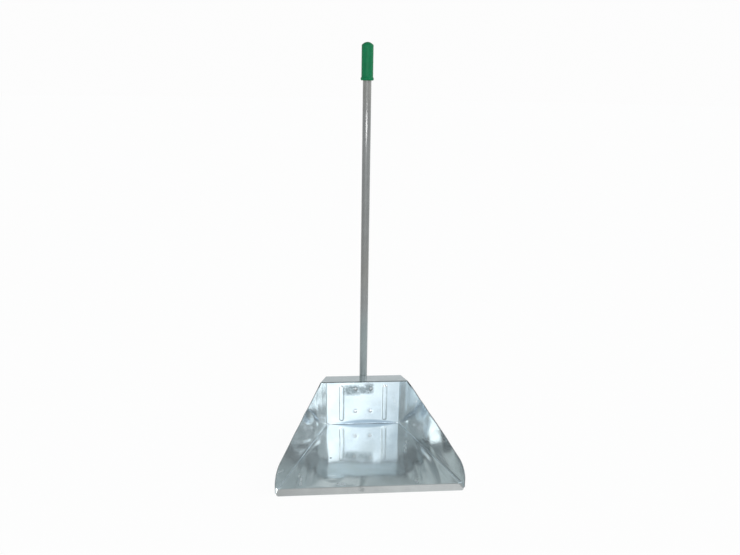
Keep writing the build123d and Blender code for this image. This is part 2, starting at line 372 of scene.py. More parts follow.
@dataclass(frozen=True)
class MetalFinish:
    """Bare or zinc-coated steel: cloudy tint, crystal spangle, rolled or drawn grain, scuffed patches and
    painted shade.

    The cloud is noise of cloud_size, the spangle is the flat colour of random cells of spangle_size,
    and the grain is noise drawn out along the directions with a small number in grain. A dull oxide layer
    makes up what metal leaves of 1. The piece's own attributes say where painted shade tints it, and where
    it is scratched to a fine white, dulled to grey by scuffing and under the hood by painted shade, or dark
    with dirt and in the heel fold and at free edges with painted shade; a fine noise breaks up the edges of
    the last two. The cast, where there is one, tints the metal by its height in metres.
    """

    name: str
    colour: Triple
    metal: float
    spread: float
    roughness: tuple[float, float]
    grain: Triple
    grain_depth: float
    cloud_size: float
    spangle_size: float
    spangle_tilt: float
    spangle_depth: float = 0.4 * MM
    coat: float = 0.0
    coat_index: float = 1.5
    coat_roughness: float = 0.1
    # painted shade: a darker reflection over the back wall's heel and in the floor seams' hollow rounds
    painted_shade_colour: Triple = (0.54, 0.60, 0.66)
    # dull grey of scuffing, and painted shade under the hood: on its underside and round the upper rivets
    scuff_and_shade_colour: Triple = (0.40, 0.44, 0.45)
    scuff_and_shade_roughness: float = 0.2
    scratch_roughness: float = 0.4
    # dark of dirt, and painted shade in the heel fold and at the start of the walls' free edges
    dirt_and_shade_colour: Triple = (0.10, 0.11, 0.12)
    ragged_scale: float = 210.0
    cast: Stops = ()

    def material(self) -> Material:
        """Build the material's nodes.

        Returns:
            The material.
        """
        made, bench = new_material(self.name)
        place = bench.take("Object", "TexCoord")
        cloud = bench.noise(place, 1.0 / self.cloud_size, 3.0, 0.55)
        drawn = bench.take("Vector", "Mapping", {"Vector": place, "Scale": self.grain})
        grain = bench.noise(drawn, 1.0, 4.0, 0.6)
        spangle = bench.take("Color", "TexVoronoi", {"Vector": place, "Scale": 1.0 / self.spangle_size,
                                                     "Randomness": 1.0})
        crystal = bench.add("SeparateColor", {"Color": spangle}).outputs
        ragged = bench.noise(place, self.ragged_scale, 6.0, 0.65)
        scuff_and_shade, dirt_and_shade = self.patchy(bench, ragged, Mark.SCUFF_AND_SHADE), self.patchy(bench, ragged, Mark.DIRT_AND_SHADE)
        colour = bench.ramp(cloud, [(0.3, shade(self.colour, 1.0 - self.spread)), (0.52, self.colour),
                                    (0.75, shade(self.colour, 1.0 + self.spread))])
        if self.cast:
            height = bench.take("Z", "SeparateXYZ", {"Vector": place})
            colour = bench.mix(1.0, colour, bench.ramp(height, self.cast, smooth=True))
        dimmest = 1.0 - self.spread * 0.5
        facet = bench.span(crystal["Red"], 0.0, 1.0, dimmest, 1.0)
        streak = bench.span(grain, *NOISE_RANGE, dimmest, 1.0)
        colour = bench.mix(1.0, colour, bench.maths("MULTIPLY", facet, streak))
        # painted shade, scuffing and dirt, each mixed over the metal's colour; the scuffing and dirt marks
        # carry painted shade too
        for amount, stain in ((bench.amount(Mark.PAINTED_SHADE), self.painted_shade_colour), (scuff_and_shade, self.scuff_and_shade_colour),
                              (dirt_and_shade, self.dirt_and_shade_colour)):
            colour = bench.mix(amount, colour, (*stain, 1.0))
        rough = bench.span(bench.maths("ADD", cloud, grain), 0.7, 1.3, *self.roughness)
        for amount, extra in ((scuff_and_shade, self.scuff_and_shade_roughness),
                              (bench.amount(Mark.SCRATCH), self.scratch_roughness)):
            rough = bench.maths("MULTIPLY_ADD", amount, extra, rough)
        tilt = bench.take("Normal", "Bump", {"Strength": self.spangle_tilt, "Distance": self.spangle_depth,
                                             "Height": crystal["Green"]})
        normal = bench.take("Normal", "Bump", {"Strength": 1.0, "Distance": self.grain_depth,
                                               "Height": grain, "Normal": tilt})
        metal = bench.take("BSDF", "BsdfPrincipled", {
            "Base Color": colour, "Metallic": self.metal, "Roughness": rough, "Normal": normal,
            "Coat Weight": self.coat, "Coat Roughness": self.coat_roughness, "Coat IOR": self.coat_index})
        bench.add("OutputMaterial", {"Surface": metal})
        return made

    def patchy(self, bench: NodeBench, ragged: NodeSocket, wear: Mark) -> NodeSocket:
        """One kind of mark from 0 to 1: its amount, broken up by a fine noise and cut off softly."""
        broken = bench.maths("MULTIPLY", bench.span(ragged, *NOISE_RANGE, 0.5, 1.4), bench.amount(wear))
        return bench.span(broken, 0.25, 0.95, 0.0, 1.0)


@dataclass(frozen=True)
class GripPlastic:
    """Moulded green plastic: mottled colour, faint flow lines, a fine satin skin and a patchy shine."""

    name: str = "grip_plastic"
    colour: Triple = (0.004, 0.160, 0.062)
    spread: tuple[float, float] = (0.82, 1.14)
    roughness: tuple[float, float] = (0.36, 0.5)
    shine: float = 0.16
    mottle_scale: float = 90.0
    flow: Triple = (420.0, 420.0, 30.0)
    skin_size: float = 0.5 * MM
    skin_depth: float = 0.02 * MM

    def material(self) -> Material:
        """Build the material's nodes.

        Returns:
            The material.
        """
        made, bench = new_material(self.name)
        place = bench.take("Object", "TexCoord")
        mottle = bench.noise(place, self.mottle_scale, 4.0)
        flow = bench.take("Vector", "Mapping", {"Vector": place, "Scale": self.flow})
        skin = bench.noise(place, 1.0 / self.skin_size, 2.0)
        both = bench.maths("MULTIPLY", bench.maths("ADD", mottle, bench.noise(flow, 1.0, 2.0)), 0.5)
        dark, pale = (shade(self.colour, by) for by in self.spread)
        colour = bench.ramp(both, [(0.3, dark), (0.5, self.colour), (0.72, pale)])
        rough = bench.span(mottle, *NOISE_RANGE, *self.roughness)
        normal = bench.take("Normal", "Bump", {"Strength": 1.0, "Distance": self.skin_depth, "Height": skin})
        plastic = bench.take("BSDF", "BsdfPrincipled", {
            "Base Color": colour, "Roughness": rough, "Specular IOR Level": self.shine, "Normal": normal})
        bench.add("OutputMaterial", {"Surface": plastic})
        return made


@dataclass(frozen=True)
class FloorPaper:
    """Matt paper that shows as white to the camera and in the metal, and still takes the shadow."""

    name: str = "floor_paper"
    colour: Triple = (0.93, 0.93, 0.925)
    white_share: float = 0.95
    mirrored_share: float = 0.8

    def material(self) -> Material:
        """Build the material's nodes: paper and plain white, mixed by the kind of ray that meets them.

        Returns:
            The material.
        """
        made, bench = new_material(self.name)
        rays = bench.add("LightPath").outputs
        bent = bench.maths("MAXIMUM", rays["Is Glossy Ray"], rays["Is Transmission Ray"])
        mirrored = bench.maths("MULTIPLY", bent, self.mirrored_share)
        share = bench.maths("MULTIPLY_ADD", rays["Is Camera Ray"], self.white_share, mirrored)
        paper = bench.take("BSDF", "BsdfDiffuse", {"Color": (*self.colour, 1.0)})
        white = bench.take("Emission", "Emission", {"Strength": 1.0})
        mixed = bench.take("Shader", "MixShader", {"Fac": share, 1: paper, 2: white})
        bench.add("OutputMaterial", {"Surface": mixed})
        return made


ZINC_SHEET = MetalFinish(
    "zinc_sheet", (0.82, 0.865, 0.88), metal=0.90, spread=0.06, roughness=(0.08, 0.13),
    grain=(900.0, 22.0, 22.0), grain_depth=0.002 * MM, cloud_size=45 * MM, spangle_size=9 * MM,
    spangle_tilt=0.006)
# the sheet's zinc, darkened as painted shade along folded edges: the hood's hem, its ears and the walls' hems
SHADED_ZINC_HEM = MetalFinish(
    "zinc_hem", (0.24, 0.27, 0.28), metal=0.85, spread=0.10, roughness=(0.24, 0.34),
    grain=(300.0, 40.0, 40.0), grain_depth=0.004 * MM, cloud_size=25 * MM, spangle_size=6 * MM,
    spangle_tilt=0.01)
HANDLE_STEEL = MetalFinish(
    "handle_steel", (0.225, 0.268, 0.272), metal=0.12, spread=0.10, roughness=(0.36, 0.46),
    grain=(900.0, 900.0, 12.0), grain_depth=0.003 * MM, cloud_size=60 * MM, spangle_size=14 * MM,
    spangle_tilt=0.0, coat=0.6, coat_index=1.7,
    cast=((0.21, (1.0, 1.0, 1.0)), (0.28, (0.93, 0.80, 0.79)), (0.34, (0.86, 0.72, 0.68)),
          (0.42, (0.79, 0.69, 0.67)), (0.62, (0.79, 0.69, 0.675)), (0.69, (0.86, 0.725, 0.67))))
STRAP_STEEL = MetalFinish(
    "strap_steel", (0.56, 0.58, 0.6), metal=0.9, spread=0.09, roughness=(0.24, 0.36),
    grain=(60.0, 60.0, 900.0), grain_depth=0.006 * MM, cloud_size=20 * MM, spangle_size=5 * MM,
    spangle_tilt=0.03)
RIVET_STEEL = MetalFinish(
    "rivet_steel", (0.84, 0.86, 0.88), metal=0.6, spread=0.08, roughness=(0.28, 0.38),
    grain=(500.0, 500.0, 500.0), grain_depth=0.004 * MM, cloud_size=6 * MM, spangle_size=3 * MM,
    spangle_tilt=0.02)
# the rivet steel, darkened as painted shade for the upper rivets under the hood
SHADED_RIVET_STEEL = replace(RIVET_STEEL, name="shaded_rivet_steel", colour=(0.46, 0.49, 0.50))


# Pan


@dataclass(frozen=True)
class PanPlan:
    """Places that the tray and its side walls share, from the frame's boxes and the maker's sheet sizes."""

    sheet: float = 0.6 * MM
    back_width: float = 152.0 * MM
    hood_depth: float = 30.0 * MM
    lip_reach: float = 11.0 * MM
    lip_drop: float = 6.6 * MM
    fold_radius: float = 1.2 * MM
    hem_width: float = 6.0 * MM
    hem_thickness: float = 0.9 * MM
    hem_round: float = 0.5 * MM
    gap: float = 0.15 * MM

    @cached_property
    def back_rear(self) -> float:
        """Depth of the back wall's rear face."""
        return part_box("pan_tray")[1].y

    @cached_property
    def back_front(self) -> float:
        """Depth of the back wall's front face."""
        return self.back_rear - self.sheet

    @cached_property
    def front(self) -> float:
        """Depth of the lip's edge."""
        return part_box("pan_tray")[0].y

    @cached_property
    def hood_top(self) -> float:
        """Height of the hood's upper face."""
        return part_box("pan_tray")[1].z

    @cached_property
    def hood_under(self) -> float:
        """Height of the hood's lower face."""
        return self.hood_top - self.sheet

    @cached_property
    def hood_front(self) -> float:
        """Depth of the hood's front edge."""
        return self.back_rear - self.hood_depth

    @cached_property
    def floor_top(self) -> float:
        """Height of the floor's upper face."""
        return self.lip_drop + self.sheet

    @cached_property
    def heel(self) -> float:
        """Depth where the floor starts to fold up into the back wall."""
        return self.back_rear - self.fold_radius - self.sheet

    @cached_property
    def lip_angle(self) -> float:
        """Slope of the lip."""
        return atan2(self.lip_drop, self.lip_reach)

    @cached_property
    def lip_tip(self) -> float:
        """Depth where the lip's lower face meets the ground."""
        return self.front + self.sheet * sin(self.lip_angle)

    @cached_property
    def hem_place(self) -> Triple:
        """Centre of the hem's front round: across and forward of the back corner, and out from the wall."""
        low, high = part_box("right_wall")
        return (high.x - self.back_width / 2.0 - self.hem_round, self.back_front - low.y - self.hem_round,
                self.sheet + self.hem_thickness - self.hem_round)

    @cached_property
    def hem_reach(self) -> float:
        """Distance along a wall from the back corner to the hem's front round."""
        across, forward, out = self.hem_place
        return sqrt(across**2 + forward**2 - out**2)

    @cached_property
    def flare(self) -> float:
        """Angle of the walls in plan: their hems are as far apart at the mouth as the frame says."""
        across, forward, out = self.hem_place
        return atan2(across, forward) - atan2(out, self.hem_reach)

    @cached_property
    def wall_length(self) -> float:
        """Length of a wall's inner face from the back corner to the front edge."""
        return self.hem_reach + self.hem_round

    def wall_x(self, depth: np.ndarray | float, out: float) -> np.ndarray | float:
        """Half width between the walls at a depth, a distance out from their inner faces."""
        return self.back_width / 2.0 + (self.back_front - depth) * tan(self.flare) + out / cos(self.flare)

    def along(self, depth: np.ndarray | float) -> np.ndarray | float:
        """Distance along a wall's inner face from the back corner to a depth."""
        return (self.back_front - depth) / cos(self.flare)

    def on_wall(self, side: Side, along: np.ndarray, out: np.ndarray, height: np.ndarray) -> np.ndarray:
        """Points beside a wall: the back corner, plus steps along the wall, out of it and up.

        Args:
            side: Which wall.
            along: Distance forward along its inner face.
            out: Distance outward from its inner face.
            height: Height above the ground.

        Returns:
            Points, with x, y and z in the last axis.
        """
        along, out, height = np.broadcast_arrays(along, out, height)
        x = self.back_width / 2.0 + along * sin(self.flare) + out * cos(self.flare)
        y = self.back_front - along * cos(self.flare) + out * sin(self.flare)
        return np.stack([side.value * x, y, height], axis=-1)


@dataclass(frozen=True)
class Ripple:
    """Slight unevenness of a sheet: a wave each way, multiplied together, and a slanting wave across them.

    At u and v it is depth (sin(u / a + p) cos(v / b + q) + share sin(u / c + v / d + r)), where a and b are
    the lengths, p and q the starts, c and d the slant and r its start. Each length is the wave's own over
    2 pi, and the starts keep the waves out of step.
    """

    depth: float
    lengths: tuple[float, float]
    starts: tuple[float, float]
    share: float
    slant: tuple[float, float]
    slant_start: float

    def at(self, u: np.ndarray, v: np.ndarray) -> np.ndarray:
        """Unevenness at places of the sheet.

        Args:
            u: Places one way.
            v: Places the other way.

        Returns:
            Distances along the sheet's normal.
        """
        (a, b), (p, q), (c, d) = self.lengths, self.starts, self.slant
        straight = np.sin(u / a + p) * np.cos(v / b + q)
        return self.depth * (straight + self.share * np.sin(u / c + v / d + self.slant_start))


@dataclass
class PanTray:
    """Lip, floor, back wall and hood: one strip of sheet, folded and pressed, with an ear at each hood end.

    Dents have a place across and along the floor, two half widths and a depth; blobs of scuffing, scratches,
    dirt and painted shade have a place and two half widths; all are in millimetres.
    """

    plan: PanPlan
    lip_fold: float = 4.0 * MM
    lip_corner: float = 4.5 * MM
    ear_height: float = 10.0 * MM
    bead_spacing: float = 90.5 * MM
    bead_width: float = 10.0 * MM
    bead_bottom: float = 15.0 * MM
    bead_top: float = 97.0 * MM
    bead_depth: float = 1.6 * MM
    bead_slope: float = 1.95 * MM
    rivet_spacing: float = 32.0 * MM
    rivet_rows: tuple[str, ...] = ("upper_saddle_rivets", "lower_saddle_rivets")
    dish_radius: float = 7.5 * MM
    dish_depth: float = 0.15 * MM
    floor_ripple: Ripple = Ripple(0.16 * MM, lengths=(21.0 * MM, 26.0 * MM), starts=(0.6, 0.4),
                                  share=0.7, slant=(13.0 * MM, -31.0 * MM), slant_start=1.9)
    lip_margin: float = 9.0 * MM
    floor_fades: tuple[float, float] = (9.0 * MM, 25.0 * MM)
    back_ripple: Ripple = Ripple(0.10 * MM, lengths=(15.0 * MM, 14.0 * MM), starts=(0.3, 0.9 - pi / 2.0),
                                 share=0.6, slant=(9.0 * MM, 19.0 * MM), slant_start=pi / 2.0)
    foot_margin: float = 12.0 * MM
    back_fades: tuple[float, float] = (20.0 * MM, 15.0 * MM)
    floor_dents: Blobs = ((-97.0, 25.0, 14.0, 20.0, 0.9), (-66.0, -88.0, 20.0, 14.0, 0.55))
    # painted shade at the heel: a band up to an arch over it, and a darker line in the fold
    heel_band: float = 12.0 * MM
    heel_middle: float = 6.0 * MM
    heel_fade: float = 5.0 * MM
    # darker painted shade in the heel fold, fading out towards the sides
    heel_painted_shade: float = 0.38
    heel_shade_reach: float = 70.0 * MM
    heel_shade_fade: float = 20.0 * MM
    # painted shade on the hood's underside
    hood_painted_shade: float = 0.3
    blob_slope: float = 1.3
    # the first three blobs are painted shade under the hood, round the upper rivets; the last is a scuffed
    # smudge on the lip
    scuffs_and_shade: Blobs = (
        (-24.0, 104.5, 86.0, 29.0, 19.0), (0.0, 104.5, 86.0, 16.0, 14.0), (12.5, 104.5, 89.0, 15.0, 20.0),
        (-18.0, -118.0, 4.0, 6.0, 8.0))
    scratches: Blobs = (
        (-128.5, -74.0, 7.2, 2.4, 10.0), (-125.5, -86.0, 7.2, 2.4, 10.0), (-125.8, -99.0, 7.2, 2.4, 10.0),
        (83.5, 27.0, 7.2, 2.0, 10.0), (79.0, 10.0, 7.2, 2.0, 11.0), (76.5, -3.0, 7.2, 2.0, 8.0),
        (85.0, -101.0, 7.2, 3.2, 7.0), (-52.0, -104.0, 7.2, 11.0, 6.0))
    dirt: Blobs = ((-70.0, -21.0, 7.2, 3.0, 3.0),)
    run_steps: tuple[int, ...] = (8, 120, 120, 18, 2, 4)
    arc_steps: int = 9
    hem_rows: int = 22
    stations: tuple[float, ...] = (0.0, 0.13, 0.3, 0.51, 0.69, 1.0)
    station_steps: tuple[int, ...] = (4, 15, 7, 20, 27)

    def strip(self) -> np.ndarray:
        """Middle line of the strip in the upright plane: lip, floor, back wall, hood and its hem.

        Returns:
            Depths and heights along the strip.
        """
        plan = self.plan
        half = plan.sheet / 2.0
        tip = (plan.lip_tip - half * sin(plan.lip_angle), half * cos(plan.lip_angle))
        floor = plan.lip_drop + half
        crease = tip[0] + (floor - tip[1]) / tan(plan.lip_angle)
        back, hood, edge = plan.back_rear - half, plan.hood_top - half, plan.hood_front + half
        hem = 1.5 * half
        under = hood - 2.0 * hem
        corners = [tip, (crease, floor), (back, floor), (back, hood), (edge, hood), (edge, under),
                   (plan.hood_front + plan.hem_width, under)]
        fold = plan.fold_radius + half
        tight = hem * 0.999  # leaves a sliver of a run between the hem's two arcs
        return rounded_path(corners, [self.lip_fold + half, fold, fold, tight, tight], self.run_steps,
                            self.arc_steps)

    def half_width(self, depth: np.ndarray, height: np.ndarray) -> np.ndarray:
        """Half width of the strip: out to the walls, rounded at the lip's corners, narrower at the back wall.

        The lip's corner is an arc tangent to the front edge and to the wall's line.

        Args:
            depth: Depths along the strip.
            height: Heights along the strip.

        Returns:
            Half widths.
        """
        plan = self.plan
        radius = self.lip_corner
        centre_y = plan.front + radius
        centre_x = plan.wall_x(centre_y, plan.sheet) - radius / cos(plan.flare)
        width = plan.wall_x(depth, plan.sheet)
        arc = centre_x + arc_rise(radius, depth - centre_y)
        width = np.where(depth < centre_y + radius * sin(plan.flare), arc, width)
        width = np.where(depth > plan.heel, plan.wall_x(plan.back_rear, 0.0) - plan.gap, width)
        hem = (height > plan.floor_top * 2.0) & (height < plan.hood_under) & (depth < plan.heel - plan.sheet)
        return np.where(hem, plan.wall_x(plan.hood_front + plan.hem_width, 0.0) - plan.gap, width)

    def across(self) -> np.ndarray:
        """Shares of the half width from -1 to 1, closer together at the rivets and the beads."""
        right = np.append(graded(self.stations, self.station_steps), self.stations[-1])
        return np.concatenate([-right[:0:-1], right])

    def bead(self, x: np.ndarray, height: np.ndarray) -> np.ndarray:
        """How far the back wall is pressed forward: a flat-topped rib on an upright line, eased at its rim.

        Args:
            x: Places across the back wall.
            height: Heights on the back wall.

        Returns:
            Depths of the pressing.
        """
        radius = self.bead_width / 2.0
        reach = np.clip(height, self.bead_bottom + radius, self.bead_top - radius) - height
        away = np.hypot(np.abs(x) - self.bead_spacing / 2.0, reach)
        return self.bead_depth * ease((radius - away) / self.bead_slope)

    def dishes(self, x: np.ndarray, height: np.ndarray) -> np.ndarray:
        """How far each rivet has drawn the back wall in: a soft dome round it.

        Args:
            x: Places across the back wall.
            height: Heights on the back wall.

        Returns:
            Depths of the dishes.
        """
        drawn = np.zeros_like(x)
        for row in self.rivet_rows:
            low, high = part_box(row)
            away = np.hypot(np.abs(x) - self.rivet_spacing / 2.0, height - (low.z + high.z) / 2.0)
            drawn += self.dish_depth * dome((away / self.dish_radius) ** 2)
        return drawn

    def waves(self, share: np.ndarray, points: np.ndarray) -> np.ndarray:
        """Slight unevenness of the sheet: its ripples, and dents of the floor, fading to folds and walls.

        Args:
            share: Shares of the half width.
            points: Grid of points of the flat strip.

        Returns:
            Distances along the sheet's normal.
        """
        plan = self.plan
        x, y, z = points[..., 0], points[..., 1], points[..., 2]
        sides = 1.0 - share**6
        floor_zone = between(y, plan.lip_tip + self.lip_margin, plan.heel, *self.floor_fades)
        floor_zone = np.where(z < 2.0 * plan.floor_top, floor_zone, 0.0)
        back_zone = between(z, self.foot_margin, plan.hood_under, *self.back_fades)
        back_zone = np.where(y > plan.heel, back_zone, 0.0)
        floor = self.floor_ripple.at(x, y)
        for centre_x, centre_y, wide, long, depth in np.array(self.floor_dents) * MM:
            floor -= depth * dome(((x - centre_x) / wide) ** 2 + ((y - centre_y) / long) ** 2)
        return sides * (floor_zone * floor + back_zone * self.back_ripple.at(x, z))

    def wear(self, vertices: np.ndarray) -> dict[Mark, np.ndarray]:
        """Marks: blobs, 1 in the middle and 0 from their edge on, and painted shade on the hood's underside
        and at the heel.

        A blob's edge is where the fourth powers of the distances, as shares of its sizes, add up to 1. On
        the back wall painted shade lies over the heel under a shallow arch, and darker painted shade lies in
        the fold.

        Args:
            vertices: The strip's vertices.

        Returns:
            How much of each kind of mark each vertex has, from 0 to 1.
        """
        plan = self.plan
        x, y, z = vertices.T
        under = (y < plan.heel - plan.sheet) & (np.abs(z - plan.hood_under) < 0.2 * plan.sheet)
        heel = np.hypot(y - plan.back_front, z - plan.floor_top) < 0.9 * plan.fold_radius
        swing = np.clip((x - self.heel_middle) / plan.back_width, -0.5, 0.5) * pi
        arch = self.heel_band * np.cos(swing) ** 0.8
        middle = ease((self.heel_shade_reach - np.abs(x)) / self.heel_shade_fade)
        # painted shade on the hood's underside, over the heel under an arch and in the heel fold
        marks = {Mark.SCUFF_AND_SHADE: np.where(under, self.hood_painted_shade, 0.0),
                 Mark.PAINTED_SHADE: ease((plan.floor_top + arch - z) / self.heel_fade) * (y > plan.heel),
                 Mark.SCRATCH: np.zeros_like(x),
                 Mark.DIRT_AND_SHADE: np.where(heel, self.heel_painted_shade, 0.0) * middle}
        blobs = {Mark.SCUFF_AND_SHADE: self.scuffs_and_shade, Mark.SCRATCH: self.scratches, Mark.DIRT_AND_SHADE: self.dirt}
        for wear, places in blobs.items():
            for centre_x, centre_y, centre_z, wide, tall in np.array(places) * MM:
                away = ((x - centre_x) / wide) ** 4 + (np.hypot(y - centre_y, z - centre_z) / tall) ** 4
                marks[wear] = np.maximum(marks[wear], ease(self.blob_slope * (1.0 - away**0.25)))
        return marks

    def sheet_surface(self) -> np.ndarray:
        """Middle surface: each point of the strip's line, carried across by its share of the half width.

        Returns:
            Grid of points, along the strip by across it.
        """
        line, share = self.strip(), self.across()
        depth, height = line[:, :1], line[:, 1:]
        flat = np.stack(np.broadcast_arrays(self.half_width(depth, height) * share, depth, height), axis=-1)
        on_back = flat[..., 1] > self.plan.heel
        x, height = flat[..., 0], flat[..., 2]
        flat[..., 1] -= np.where(on_back, self.bead(x, height) - self.dishes(x, height), 0.0)
        return flat + surface_normals(flat) * self.waves(share, flat)[..., None]

    def ear_surface(self, side: Side) -> np.ndarray:
        """Middle surface of an ear: the hood's edge, folded round and down outside the wall.

        Args:
            side: Which ear.

        Returns:
            Grid of points, along the wall by down the ear.
        """
        plan = self.plan
        sheet = plan.sheet
        bend = np.linspace(0.0, pi / 2.0, 7)
        drop = np.linspace(plan.hood_under, plan.hood_top - self.ear_height, 7)[1:]
        out = np.concatenate([sheet + sheet / 2.0 * np.sin(bend), np.full_like(drop, 1.5 * sheet)])
        height = np.concatenate([plan.hood_under + sheet / 2.0 * np.cos(bend), drop])
        along = np.linspace(plan.along(plan.heel), plan.along(plan.hood_front), 10)
        return plan.on_wall(side, along[:, None], out, height)

    def build(self, material: Material, shaded_hem_material: Material) -> list[Object]:
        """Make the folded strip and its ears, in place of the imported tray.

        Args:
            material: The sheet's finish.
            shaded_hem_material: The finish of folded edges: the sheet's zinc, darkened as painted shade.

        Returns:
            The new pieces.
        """
        sheet = self.plan.sheet
        surface = self.sheet_surface()
        body = shell(surface[:1 - self.hem_rows], sheet)
        strip = make_piece("pan_tray_sheet", body, material, marks=self.wear(body[0]))
        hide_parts("pan_tray")
        hem = shell(surface[-self.hem_rows:], sheet)
        # the hood's hem and ears take the folded-edge finish, darkened as painted shade
        return [strip, make_piece("hood_hem", hem, shaded_hem_material, SHARP_ROUND),
                *(make_piece(f"{side.name.lower()}_hood_ear", shell(self.ear_surface(side), sheet),
                             shaded_hem_material) for side in Side)]


@dataclass
class SideWall:
    """One flaring side wall: an upright sheet with a hemmed edge and flanges on floor, back and hood.

    Dents have a place along and up the wall, two half widths, a turn in degrees and a depth outward; their
    lengths are in millimetres. Fades of the edge and the crease, and the swell's top, are shares of the
    wall's height there.
    """

    plan: PanPlan
    side: Side
    dents: Blobs
    mouth_height: float = 45.0 * MM
    crown_radius: float = 36.0 * MM
    toe_radius: float = 3.0 * MM
    seam_width: float = 6.0 * MM
    seam_ease: float = 0.12 * MM
    seam_scratch: float = 0.45
    # painted shade in the seam's hollow round
    seam_painted_shade: float = 0.9
    rear_width: float = 12.0 * MM
    rear_bend: float = 1.0 * MM
    rear_lap: float = 0.2 * MM
    fold_radius: float = 0.8 * MM
    overlap: float = 0.1 * MM
    seat: float = 0.02 * MM
    plate_start: float = 1.5 * MM
    hem_start: float = 0.6 * MM
    edge_fades: tuple[float, float] = (0.12, 0.12)
    end_fades: tuple[float, float] = (30.0 * MM, 20.0 * MM)
    corner_swell: float = 0.5 * MM
    swell_reach: float = 28.0 * MM
    swell_fades: tuple[float, float] = (5.0 * MM, 24.0 * MM)
    swell_top: float = 0.35
    crease_place: float = 24.0 * MM
    crease_depth: float = 0.2 * MM
    crease_width: float = 3.0 * MM
    crease_margin: float = 4.0 * MM
    crease_fades: tuple[float, float] = (0.4, 0.1)
    dent_start: float = 26.0 * MM
    dent_fades: tuple[float, float] = (24.0 * MM, 30.0 * MM)
    dent_rise: float = 20.0 * MM
    # painted shade at the start of the free edge, by the hood
    dark_reach: float = 22.0 * MM
    dark_fade: float = 12.0 * MM
    dark_depth: float = 4.5 * MM
    dark_edge: float = 2.0 * MM

    @cached_property
    def length(self) -> float:
        """Length of the inner face from the back corner to the front edge."""
        return self.plan.wall_length

    @cached_property
    def ripple(self) -> Ripple:
        """Unevenness of this wall; the waves of the two walls start apart."""
        return Ripple(0.15 * MM, lengths=(17.0 * MM, 19.0 * MM), starts=(0.8 * self.side.value, 0.5),
                      share=0.6, slant=(29.0 * MM, 12.0 * MM), slant_start=0.0)

    @cached_property
    def free_start(self) -> float:
        """Distance along the wall to the hood's front edge, where the free edge starts."""
        return self.plan.along(self.plan.hood_front)

    @cached_property
    def edge_slope(self) -> float:
        """Slope of the straight top edge."""
        return atan2(self.plan.hood_under - self.mouth_height, self.length - self.free_start)

    @cached_property
    def crown(self) -> tuple[float, float]:
        """Centre of the round front corner, along the wall and up."""
        edge = self.mouth_height + self.crown_radius * tan(self.edge_slope)
        return self.length - self.crown_radius, edge - self.crown_radius / cos(self.edge_slope)

    def top_edge(self, along: np.ndarray, inset: float) -> np.ndarray:
        """Height of the top edge: level under the hood, then a straight slope, then the round front corner.

        Args:
            along: Distances along the wall.
            inset: Distance that the edge is moved in, square to itself.

        Returns:
            Heights.
        """
        centre, middle = self.crown
        radius = self.crown_radius - inset
        slope = (self.mouth_height + (self.length - along) * tan(self.edge_slope)
                 - inset / cos(self.edge_slope))
        edge = np.where(along > centre + radius * sin(self.edge_slope),
                        middle + arc_rise(radius, along - centre), slope)
        return np.where(along < self.free_start, self.plan.hood_under, edge)

    def bottom_edge(self, along: np.ndarray) -> np.ndarray:
        """Height of the bottom edge: on the floor, then down along the lip, with a small round at the toe.

        Args:
            along: Distances along the wall.

        Returns:
            Heights.
        """
        plan = self.plan
        depth = plan.back_front - along * cos(plan.flare)
        lip = plan.lip_drop * (depth - plan.lip_tip) / plan.lip_reach + plan.sheet / cos(plan.lip_angle)
        toe = np.clip((along - (self.length - self.toe_radius)) / self.toe_radius, 0.0, 1.0)
        return np.minimum(plan.floor_top, lip) + self.toe_radius * (1.0 - np.sqrt(1.0 - toe**2))

    def waves(self, along: np.ndarray, height: np.ndarray, level: np.ndarray) -> np.ndarray:
        """Unevenness of the wall: its ripple, a swell by the back corner, a crease under the hood, and dents.

        Args:
            along: Distances along the wall.
            height: Heights.
            level: Shares of the height, from the bottom edge to the top edge.

        Returns:
            Distances outward.
        """
        brim = between(level, 0.0, 1.0, *self.edge_fades)
        zone = between(along, 0.0, self.length, *self.end_fades) * brim
        low_down = brim * ease((1.0 - level) / self.swell_top)
        corner = low_down * between(along, 0.0, self.swell_reach, *self.swell_fades)
        fade = between(level, 0.0, 1.0, *self.crease_fades)
        crease = fade * dome(((along - self.crease_place) / self.crease_width) ** 2)
        return (zone * self.ripple.at(along, height) + self.corner_swell * corner
                - self.crease_depth * crease + self.bowing(along, height))

    def bowing(self, along: np.ndarray, height: np.ndarray) -> np.ndarray:
        """Dents of the wall, edge and all: soft domes over turned ellipses, fading to floor, hood and front.

        Args:
            along: Distances along the wall.
            height: Heights.

        Returns:
            Distances outward.
        """
        out = np.zeros(np.broadcast_shapes(along.shape, height.shape))
        for centre, middle, long, tall, turn, depth in self.dents:
            over, up, lean = along - centre * MM, height - middle * MM, radians(turn)
            out += depth * MM * dome(((over * cos(lean) + up * sin(lean)) / (long * MM)) ** 2
                                     + ((up * cos(lean) - over * sin(lean)) / (tall * MM)) ** 2)
        zone = between(along, self.dent_start, self.length, *self.dent_fades)
        return out * zone * ease((height - self.plan.floor_top) / self.dent_rise)

